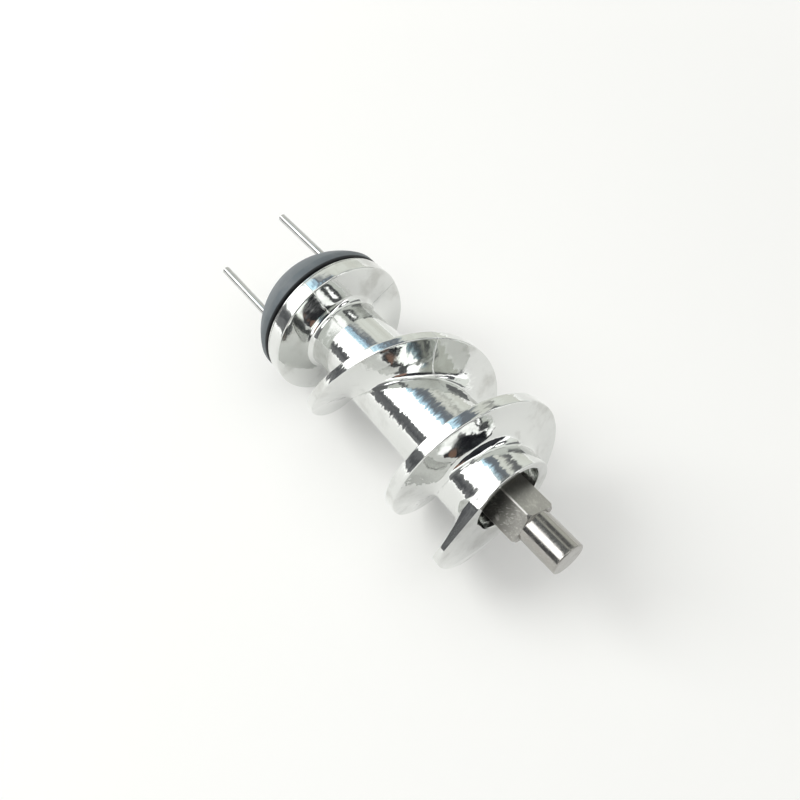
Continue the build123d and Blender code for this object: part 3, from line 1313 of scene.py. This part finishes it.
@dataclass
class Spindle:
    """The knife spindle: square drive with turned corners, then the round journal."""

    law: ScrewLaw
    placement: Placement
    finish: MilledSteel
    width: float = 10.1
    reach: float = 8.7
    shank: float = 26.0
    edge_bevel: float = 0.28
    corner_room: float = 0.05
    corner_trim: float = 0.9
    corner_trim_length: float = 1.2
    journal_radius: float = 5.0
    journal_length: float = 12.3
    journal_root: float = 2.0
    tip_rounding: float = 0.38
    envelope_steps: int = 240
    journal_steps: int = 160

    def square(self) -> Object:
        """Square bar with bevelled long edges.

        Returns:
            The bar, one corner up.
        """
        half = self.width / 2
        inner = half - self.edge_bevel
        bm = bmesh.new()
        rings = []
        for x in (self.law.length - self.shank, self.law.length + self.reach):
            corners = []
            for sy, sz in ((1, 1), (-1, 1), (-1, -1), (1, -1)):
                along_y, along_z = (sy * inner, sz * half), (sy * half, sz * inner)
                corners += (along_z, along_y) if sy * sz > 0 else (along_y, along_z)
            rings.append([bm.verts.new((x * MM, y * MM, z * MM)) for y, z in corners])
        count = len(rings[0])
        for k in range(count):
            n = (k + 1) % count
            bm.faces.new((rings[0][k], rings[0][n], rings[1][n], rings[1][k]))
        bm.faces.new(rings[0])
        bm.faces.new(list(reversed(rings[1])))
        bmesh.ops.recalc_face_normals(bm, faces=bm.faces)
        return placed_object("square_bar", bm, Matrix.Rotation(math.radians(45), 4, "X"), Shading.CRISP)

    def envelope(self) -> Object:
        """Turned shape that trims the bar's corners at its shoulder.

        Returns:
            The shape to keep the bar inside.
        """
        start = self.law.length - self.shank - 1
        shoulder = self.law.length + self.reach
        corner = self.width * math.sqrt(0.5) + self.corner_room
        points = [
            (start, 0.0),
            (start, corner),
            (shoulder - self.corner_trim_length, corner),
            (shoulder, corner - self.corner_trim),
            (shoulder, 0.0),
        ]
        return placed_object("envelope", lathe(points, self.envelope_steps), IN_PLACE, Shading.CRISP)

    def journal(self) -> Object:
        """Round journal, rooted in the bar.

        Returns:
            The journal, with a rounded tip.
        """
        shoulder, r = self.law.length + self.reach, self.journal_radius
        tip = shoulder + self.journal_length
        corners = [
            (shoulder - self.journal_root, 0.0, 0.0),
            (shoulder - self.journal_root, r, 0.0),
            (shoulder - 0.1, r, 0.0),
            (tip, r, self.tip_rounding),
            (tip, 0.0, 0.0),
        ]
        bm = lathe(divided(rounded(corners, 6), 1.0), self.journal_steps)
        return placed_object("journal", bm, IN_PLACE, Shading.SOFT)

    def build(self) -> Object:
        """Make the spindle.

        Returns:
            The spindle as one piece, dressed, in the part's frame.
        """
        bar = self.square()
        carve(bar, [self.envelope()], "INTERSECT")
        whole = joined("steel_spindle", [bar, self.journal()])
        whole.data.transform(self.placement.matrix())
        finished(whole, self.finish.build())
        return whole


@dataclass
class DrivePins:
    """The two drive pins behind the seal."""

    placement: Placement
    finish: DrawnSteel
    radius: float = 1.25
    root_radius: float = 1.45
    circle_radius: float = 12.4
    inner_end: float = -1.8
    root_end: float = -18.2
    root_step: float = 0.02
    tip: float = -46.9
    tip_bevel: Point = (0.3, 0.35)
    left_extra: float = 1.2
    steps: int = 48

    def outline(self, tip: float) -> list[Point]:
        """Outline of a pin.

        Args:
            tip: place of its tip along the axis.

        Returns:
            Points of its root, its free length and its rounded tip.
        """
        back, inward = self.tip_bevel
        corners = [
            (self.inner_end, 0.0, 0.0),
            (self.inner_end, self.root_radius, 0.1),
            (self.root_end, self.root_radius, 0.08),
            (self.root_end - self.root_step, self.radius, 0.0),
            (tip + back, self.radius, 0.3),
            (tip, self.radius - inward, 0.25),
            (tip, 0.0, 0.0),
        ]
        return divided(rounded(corners, 4), 2.0)

    def build(self) -> dict[str, Object]:
        """Make the pins.

        Returns:
            Each pin by the node that it stands for.
        """
        material = self.finish.build()
        pins = {}
        for node, side, extra in (("drive_pin_left", 1.0, self.left_extra), ("drive_pin_right", -1.0, 0.0)):
            place = self.placement.matrix() @ Matrix.Translation((0.0, side * self.circle_radius * MM, 0.0))
            bm = lathe(self.outline(self.tip - extra), self.steps)
            pins[node] = placed_object(f"bright_{node}", bm, place, Shading.SOFT)
            pins[node].data.materials.append(material)
        return pins


@dataclass
class RearSeal:
    """The domed rubber seal."""

    placement: Placement
    finish: MatteRubber
    radius: float = 21.6
    wall: float = 4.0
    lip_front: float = -6.3
    lip_thickness: float = 2.5
    lip_rounding: float = 0.6
    dome_length: float = 9.4
    dome_drop: float = 7.6
    dome_steps: int = 16
    crown_rounding: float = 0.8
    crown_run: float = 3.0
    spigot_end: float = -11.8
    pin_circle: float = 12.4
    pin_hole: float = 1.5
    hole_front: float = -8.0
    hole_rear: float = -22.0
    steps: int = 240
    hole_steps: int = 48

    def outline(self) -> list[Point]:
        """Outline of the seal.

        Returns:
            Points from the inner face round the lip and over the dome.
        """
        dome = self.lip_front - self.lip_thickness
        rear = dome - self.dome_length
        crown = self.radius - self.dome_drop
        centre = (rear**2 - dome**2 + crown**2 - self.radius**2) / (2 * (rear - dome))
        ball = math.hypot(dome - centre, self.radius)
        first, last = math.atan2(self.radius, dome - centre), math.atan2(crown, rear - centre)
        inner = self.radius - self.wall
        corners = [
            (self.spigot_end, 0.0, 0.0),
            (self.spigot_end, inner, 0.0),
            (self.lip_front, inner, 0.0),
            (self.lip_front, self.radius, self.lip_rounding),
            (dome, self.radius, 0.0),
        ]
        points = rounded(corners)[:-1]
        for k in range(self.dome_steps - 1):
            turn = first + (last - first) * k / self.dome_steps
            points.append((centre + ball * math.cos(turn), ball * math.sin(turn)))
        end = [(*points[-1], 0.0), (rear, crown, self.crown_rounding), (rear, crown - self.crown_run, 0.0)]
        points += rounded(end)[1:]
        return divided([*points, (rear, 0.0)], 1.5)

    def build(self) -> Object:
        """Make the seal.

        Returns:
            The seal with its two pin holes, dressed, in the part's frame.
        """
        seal = placed_object("grey_seal", lathe(self.outline(), self.steps), IN_PLACE, Shading.SOFT)
        rear, front, r = self.hole_rear, self.hole_front, self.pin_hole
        tools = []
        for side in (-1.0, 1.0):
            bm = lathe([(rear, 0.0), (rear, r), (front, r), (front, 0.0)], self.hole_steps)
            shift = Matrix.Translation((0.0, side * self.pin_circle * MM, 0.0))
            tools.append(placed_object("pin_hole", bm, shift, Shading.CRISP))
        carve(seal, tools)
        finished(seal, self.finish.build())
        seal.data.transform(self.placement.matrix())
        return seal


# Studio


class Heading(Enum):
    """Angles that tell where a direction of the room points. The ragged ones stray with the clutter."""

    TURN = "turn from the window's middle"
    RAGGED_TURN = "turn from the window's middle, ragged"
    AHEAD = "turn from the part's +X"
    HEIGHT = "height over the table"
    RAGGED_HEIGHT = "height over the table, ragged"
    OVER_SILL = "height over the window's sill"


class Outlook:
    """Where a direction of the room points, in degrees, and the patterns that it meets there."""

    clutter_scale = 3.5
    clutter_reach = 22.0
    cloth_stretch = (9.0, 9.0, 2.5)
    sill_turns = (8.0, 50.0)
    sill_heights = (23.5, 36.0)

    def __init__(self, sheet: Sheet, window_turn: float) -> None:
        """Put the nodes on a sheet.

        Args:
            sheet: the paint's sheet.
            window_turn: direction of the window's middle, from the part's +X.
        """
        unit = sheet.unit(sheet.node("ShaderNodeTexCoord").outputs["Object"])
        back = {"Vector": unit, "Angle": math.radians(-window_turn)}
        x, y, z = sheet.parts(sheet.node("ShaderNodeVectorRotate", back, rotation_type="Z_AXIS").outputs[0])
        turn = sheet.math("DEGREES", sheet.math("ARCTAN2", y, x))
        height = sheet.math("DEGREES", sheet.math("ARCSINE", z))
        self.sheet = sheet
        self.front, side, _ = sheet.parts(unit)
        self.clutter = sheet.noise(unit, self.clutter_scale, 4.0, 0.6)
        self.wobble = sheet.product(sheet.math("SUBTRACT", self.clutter, 0.5), self.clutter_reach)
        self.streaks = sheet.noise(sheet.scaled(unit, self.cloth_stretch), 2.0, 3.0, 0.6)
        sill = sheet.spread(turn, *self.sill_turns, *self.sill_heights, smooth=False)
        self.angles = {
            Heading.TURN: turn,
            Heading.RAGGED_TURN: sheet.math("ADD", turn, self.wobble),
            Heading.AHEAD: sheet.math("DEGREES", sheet.math("ARCTAN2", side, self.front)),
            Heading.HEIGHT: height,
            Heading.RAGGED_HEIGHT: sheet.math("ADD", height, self.wobble),
            Heading.OVER_SILL: sheet.math("SUBTRACT", height, sill),
        }

    def band(self, heading: Heading, low: float | None, high: float | None, soft: float) -> Socket:
        """Share of a band of angles.

        Args:
            heading: the angle that is looked at.
            low: start of the band, in degrees, or None if it is open there.
            high: its end, or None if it is open there.
            soft: half the width over which its edges fade.

        Returns:
            1 in the band, 0 outside it.
        """
        angle, edges = self.angles[heading], []
        if low is not None:
            edges.append(self.sheet.spread(angle, low - soft, low + soft))
        if high is not None:
            edges.append(self.sheet.spread(angle, high - soft, high + soft, 1.0, 0.0))
        return self.sheet.product(*edges)

    def mottled(self, pattern: Socket, low: float, high: float, first: object, second: object) -> Socket:
        """Mix two colours by a pattern.

        Args:
            pattern: the pattern's value.
            low: value up to which only the first colour shows.
            high: value from which only the second one shows.
            first: the first colour.
            second: the second colour.

        Returns:
            The mixed colour.
        """
        return self.sheet.mix(self.sheet.spread(pattern, low, high), first, second)


@dataclass(frozen=True)
class Oval:
    """Oval of directions in front of the part: its middle and half size as (turn, height), and its glow."""

    name: str
    middle: Point
    reach: Point
    glow: Colour
    other_glow: Colour | None = None
    ragged: bool = True
    soft: float = 0.04

    def share(self, view: Outlook) -> Socket:
        """Share of the oval.

        Args:
            view: where a direction points.

        Returns:
            1 inside the oval, 0 outside it, with a soft edge.
        """
        sheet = view.sheet
        place = (view.angles[Heading.AHEAD], view.angles[Heading.HEIGHT])
        square: object = 0.0
        for angle, middle, reach in zip(place, self.middle, self.reach):
            part = sheet.math("DIVIDE", sheet.math("SUBTRACT", angle, middle), reach)
            square = sheet.math("MULTIPLY_ADD", part, part, square)
        far = sheet.math("SQRT", square)
        if self.ragged:
            far = sheet.math("ADD", far, sheet.math("DIVIDE", view.wobble, 3.0 * sum(self.reach)))
        return sheet.spread(far, 1.0 - self.soft, 1.0 + self.soft, 1.0, 0.0)

    def tone(self, view: Outlook) -> object:
        """Its glow, patchy where it has two."""
        patchy = self.other_glow is not None
        return view.mottled(view.clutter, 0.4, 0.6, self.glow, self.other_glow) if patchy else self.glow


@dataclass(frozen=True)
class Room:
    """What the metal mirrors: a pale room with one large window, and what stands in front of the part."""

    window_turn: float = -140.0
    window_glow: Colour = grey(4.0)
    bright_wall: Colour = (1.05, 1.08, 1.03)
    wall: Colour = (1.0, 1.03, 0.96)
    dim_wall: Colour = (0.85, 0.86, 0.79)
    cupboard: Colour = (0.11, 0.113, 0.12)
    pale_cupboard: Colour = (0.29, 0.295, 0.30)
    cloth: Colour = (0.22, 0.245, 0.275)
    thin_cloth: Colour = (0.56, 0.78, 0.95)
    cloth_gap: Colour = (1.0, 1.4, 1.62)
    corner: Colour = (0.20, 0.205, 0.21)
    ceiling: Colour = (0.16, 0.17, 0.175)
    pale_ceiling: Colour = (0.42, 0.43, 0.43)
    post: Colour = (0.26, 0.265, 0.27)
    ovals: tuple[Oval, ...] = (
        Oval("bright opening over the dark mass", (-12.0, 8.0), (46.0, 63.0), grey(2.4)),
        Oval("dark panel beside it", (40.0, 37.0), (15.0, 21.0), (0.13, 0.133, 0.14)),
        Oval("lamp in front of the panel", (43.0, 39.0), (6.5, 9.5), grey(3.2), ragged=False),
        Oval("dark mass", (-12.0, 0.0), (40.0, 52.5), (0.018, 0.019, 0.024), (0.055, 0.058, 0.066)),
        Oval("warm patch low on its left", (-41.0, 10.0), (7.0, 10.0), (0.36, 0.22, 0.17)),
    )

    def layers(self, view: Outlook) -> list[tuple[Socket, object]]:
        """Layers over the walls, from the back to the front.

        Args:
            view: where a direction points.

        Returns:
            The share and the colour of each layer.
        """
        both, band, way = view.sheet.product, view.band, Heading
        under_window = both(band(way.TURN, -30.0, 70.0, 4.0), band(way.OVER_SILL, None, 0.0, 1.5))
        pane = both(band(way.TURN, -24.0, 52.0, 2.0), band(way.OVER_SILL, 1.75, None, 1.75))
        curtain = both(band(way.RAGGED_TURN, -77.0, -24.0, 2.5), band(way.RAGGED_HEIGHT, 46.0, None, 3.0))
        right = both(band(way.AHEAD, 96.0, 126.0, 5.0), band(way.RAGGED_HEIGHT, 33.0, 60.0, 5.0))
        rear_half = view.sheet.spread(view.front, -0.08, 0.05, 1.0, 0.0)
        top = both(band(way.HEIGHT, 66.0, None, 3.0), rear_half)
        tall_post = both(band(way.AHEAD, -93.0, -85.0, 1.5), band(way.HEIGHT, None, 60.0, 4.0))
        low_post = both(band(way.AHEAD, 62.0, 79.0, 2.0), band(way.HEIGHT, None, 34.0, 3.0))
        shade = both(band(way.RAGGED_TURN, 28.0, 84.0, 4.0), band(way.RAGGED_HEIGHT, 58.0, 74.0, 3.0))
        return [
            (under_window, view.mottled(view.clutter, 0.38, 0.62, self.cupboard, self.pale_cupboard)),
            (pane, self.window_glow),
            (curtain, self.hanging_cloth(view)),
            (right, self.corner),
            (top, view.mottled(view.streaks, 0.4, 0.65, self.ceiling, self.pale_ceiling)),
            (view.sheet.largest(tall_post, low_post, shade), self.post),
            *((oval.share(view), oval.tone(view)) for oval in self.ovals),
        ]

    def hanging_cloth(self, view: Outlook) -> Socket:
        """Colour of the curtain beside the window.

        Args:
            view: where a direction points.

        Returns:
            Grey cloth, with light blue gaps that grow towards the window.
        """
        thinner = view.sheet.spread(view.angles[Heading.TURN], -57.0, -29.0, -0.2, 0.2, smooth=False)
        gaps = view.sheet.math("ADD", view.streaks, thinner)
        cloth = view.mottled(gaps, 0.42, 0.5, self.cloth, self.thin_cloth)
        return view.mottled(gaps, 0.56, 0.64, cloth, self.cloth_gap)

    def paint(self) -> Material:
        """Make the room's glow.

        Returns:
            The material, whose glow goes by direction.
        """
        material = bpy.data.materials.new("room_paint")
        material.use_nodes = True
        material.node_tree.nodes.clear()
        sheet = Sheet(material.node_tree)
        view = Outlook(sheet, self.window_turn)
        far_right = sheet.spread(view.angles[Heading.AHEAD], 88.0, 104.0)
        walls = view.mottled(view.clutter, 0.35, 0.65, self.wall, self.dim_wall)
        colour = sheet.mix(far_right, self.bright_wall, walls)
        for share, tone in self.layers(view):
            colour = sheet.mix(share, colour, tone)
        glow = sheet.node("ShaderNodeEmission", {"Color": colour, "Strength": 1.0})
        sheet.node("ShaderNodeOutputMaterial", {"Surface": glow.outputs[0]})
        return material


@dataclass(frozen=True)
class Lamp:
    """Soft round lamp that looks at the object."""

    name: str
    place: tuple[float, float, float]
    size: float
    power: float
    colour: Colour
    aim: tuple[float, float, float] = (0.0, 0.0, 0.02)

    def build(self) -> None:
        """Hang the lamp, unseen in reflections."""
        data = bpy.data.lights.new(self.name, "AREA")
        data.shape, data.size = "DISK", self.size
        data.energy, data.color = self.power, self.colour
        lamp = linked(self.name, data)
        lamp.location = self.place
        lamp.rotation_euler = (Vector(self.aim) - Vector(self.place)).to_track_quat("-Z", "Y").to_euler()
        lamp.visible_glossy = False


@dataclass
class Studio:
    """Pale table, a room that only the metal sees, lamps, world and camera."""

    table_colour: Colour = (0.80, 0.803, 0.78)
    table_size: float = 5.0
    table_drop: float = 0.00002
    table_rough: float = 0.6
    table_gloss: float = 0.2
    table_tint: float = 0.97
    table_lift: float = 0.2
    table_shine: float = 0.12
    far_lift: float = 0.8
    lift_reach: Point = (0.15, 1.2)
    dome_radius: float = 7.5
    dome_rings: int = 24
    dome_steps: int = 96
    dome_top: float = 89.9
    dome_foot: float = 0.002
    daylight: float = 0.25
    lens: float = 37.6816
    sensor: float = 36.0
    sight: Point = (0.01, 50.0)
    camera_place: tuple[float, float, float] = (0.11139025, -0.07853579, 0.21657548)
    camera_turn: tuple[float, float, float] = (33.57506542, 1.25902283, 51.69792098)
    lamps: tuple[Lamp, ...] = (
        Lamp("overhead", (0.0, 0.0, 0.98), 2.05, 7.6, (1.0, 0.998, 0.985)),
        Lamp("window", (-0.72, -0.56, 0.78), 0.8, 8.2, (1.0, 1.0, 0.99)),
    )

    def table(self) -> Object:
        """Wide pale table top that keeps the shadow.

        Returns:
            The table top, just under the part.
        """
        bm = bmesh.new()
        bmesh.ops.create_grid(bm, x_segments=2, y_segments=2, size=self.table_size)
        top = placed_object("table_top", bm, Matrix.Translation((0.0, 0.0, -self.table_drop)), Shading.SOFT)
        material, sheet, shader = new_material("pale_table")
        shader.inputs["Roughness"].default_value = self.table_rough
        shader.inputs["Specular IOR Level"].default_value = self.table_gloss
        coords = sheet.node("ShaderNodeTexCoord").outputs["Object"]
        tinted = tuple(self.table_tint * c for c in self.table_colour)
        colour = sheet.mix(sheet.noise(coords, 6.0), self.table_colour, tinted)
        sheet.feed(shader.inputs["Base Color"], colour)
        seen, glossy = sheet.seen()
        shader.inputs["Emission Color"].default_value = rgba(grey(1.0))
        away = sheet.node("ShaderNodeVectorMath", {0: coords}, operation="LENGTH").outputs["Value"]
        lift = sheet.spread(away, *self.lift_reach, self.table_lift, self.far_lift)
        glow = sheet.math("MULTIPLY_ADD", glossy, self.table_shine, sheet.product(seen, lift))
        sheet.feed(shader.inputs["Emission Strength"], glow)
        top.data.materials.append(material)
        return top

    def surroundings(self) -> Object:
        """Dome over the table that carries the room's paint.

        Returns:
            The dome, which only reflections show.
        """
        bm = bmesh.new()
        rings = []
        turns = [2 * math.pi * n / self.dome_steps for n in range(self.dome_steps)]
        for k in range(self.dome_rings + 1):
            lift = math.radians(self.dome_top * k / self.dome_rings)
            r, z = self.dome_radius * math.cos(lift), self.dome_radius * math.sin(lift) + self.dome_foot
            rings.append([bm.verts.new((r * math.cos(t), r * math.sin(t), z)) for t in turns])
        for low, high in zip(rings, rings[1:]):
            for k in range(self.dome_steps):
                n = (k + 1) % self.dome_steps
                bm.faces.new((low[k], high[k], high[n], low[n]))
        dome = placed_object("room", bm, IN_PLACE, Shading.SOFT)
        dome.data.materials.append(Room().paint())
        for name in ("visible_camera", "visible_diffuse", "visible_shadow", "visible_transmission"):
            setattr(dome, name, False)
        return dome

    def world(self) -> None:
        """White surroundings to the eye and in reflections, a softer light on the object."""
        world = bpy.data.worlds.new("studio")
        bpy.context.scene.world = world
        world.use_nodes = True
        sheet = Sheet(world.node_tree)
        background = world.node_tree.nodes["Background"]
        background.inputs["Color"].default_value = rgba(grey(1.0))
        seen, _ = sheet.seen()
        strength = sheet.spread(seen, 0.0, 1.0, self.daylight, 1.0, smooth=False)
        sheet.feed(background.inputs["Strength"], strength)

    def camera(self) -> None:
        """Camera at the photograph's angle."""
        data = bpy.data.cameras.new("camera")
        data.lens, data.sensor_width, data.sensor_fit = self.lens, self.sensor, "HORIZONTAL"
        data.clip_start, data.clip_end = self.sight
        camera = linked("camera", data)
        camera.location = self.camera_place
        camera.rotation_euler = [math.radians(a) for a in self.camera_turn]
        bpy.context.scene.camera = camera

    def build(self) -> None:
        """Set up the studio."""
        self.table()
        self.surroundings()
        self.world()
        for lamp in self.lamps:
            lamp.build()
        self.camera()
        bpy.context.scene.view_settings.view_transform = "Standard"


def main() -> None:
    """Dress the part."""
    logging.basicConfig(level=logging.INFO, format="%(name)s: %(message)s")
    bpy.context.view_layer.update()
    placement, law = Placement(), ScrewLaw()
    pieces: list[tuple[Object, str, Slot]] = []
    casting = Casting(law, placement, PolishedAluminium("polished_aluminium", placement)).build()
    pieces.append((casting, "auger_screw", Slot.ALUMINIUM))
    spindle = Spindle(law, placement, MilledSteel("milled_steel", placement)).build()
    pieces.append((spindle, "knife_spindle", Slot.SPINDLE))
    for node, pin in DrivePins(placement, DrawnSteel("drawn_steel", placement)).build().items():
        pieces.append((pin, node, Slot.PIN))
    seal = RearSeal(placement, MatteRubber("grey_rubber", placement)).build()
    pieces.append((seal, "rear_seal", Slot.RUBBER))
    for piece, node, slot in pieces:
        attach(piece, "root")
        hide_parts(node)
        LOG.info("%s stands for %s, %d faces", piece.name, node, len(piece.data.polygons))
    Studio().build()


if __name__ == "__main__":
    main()
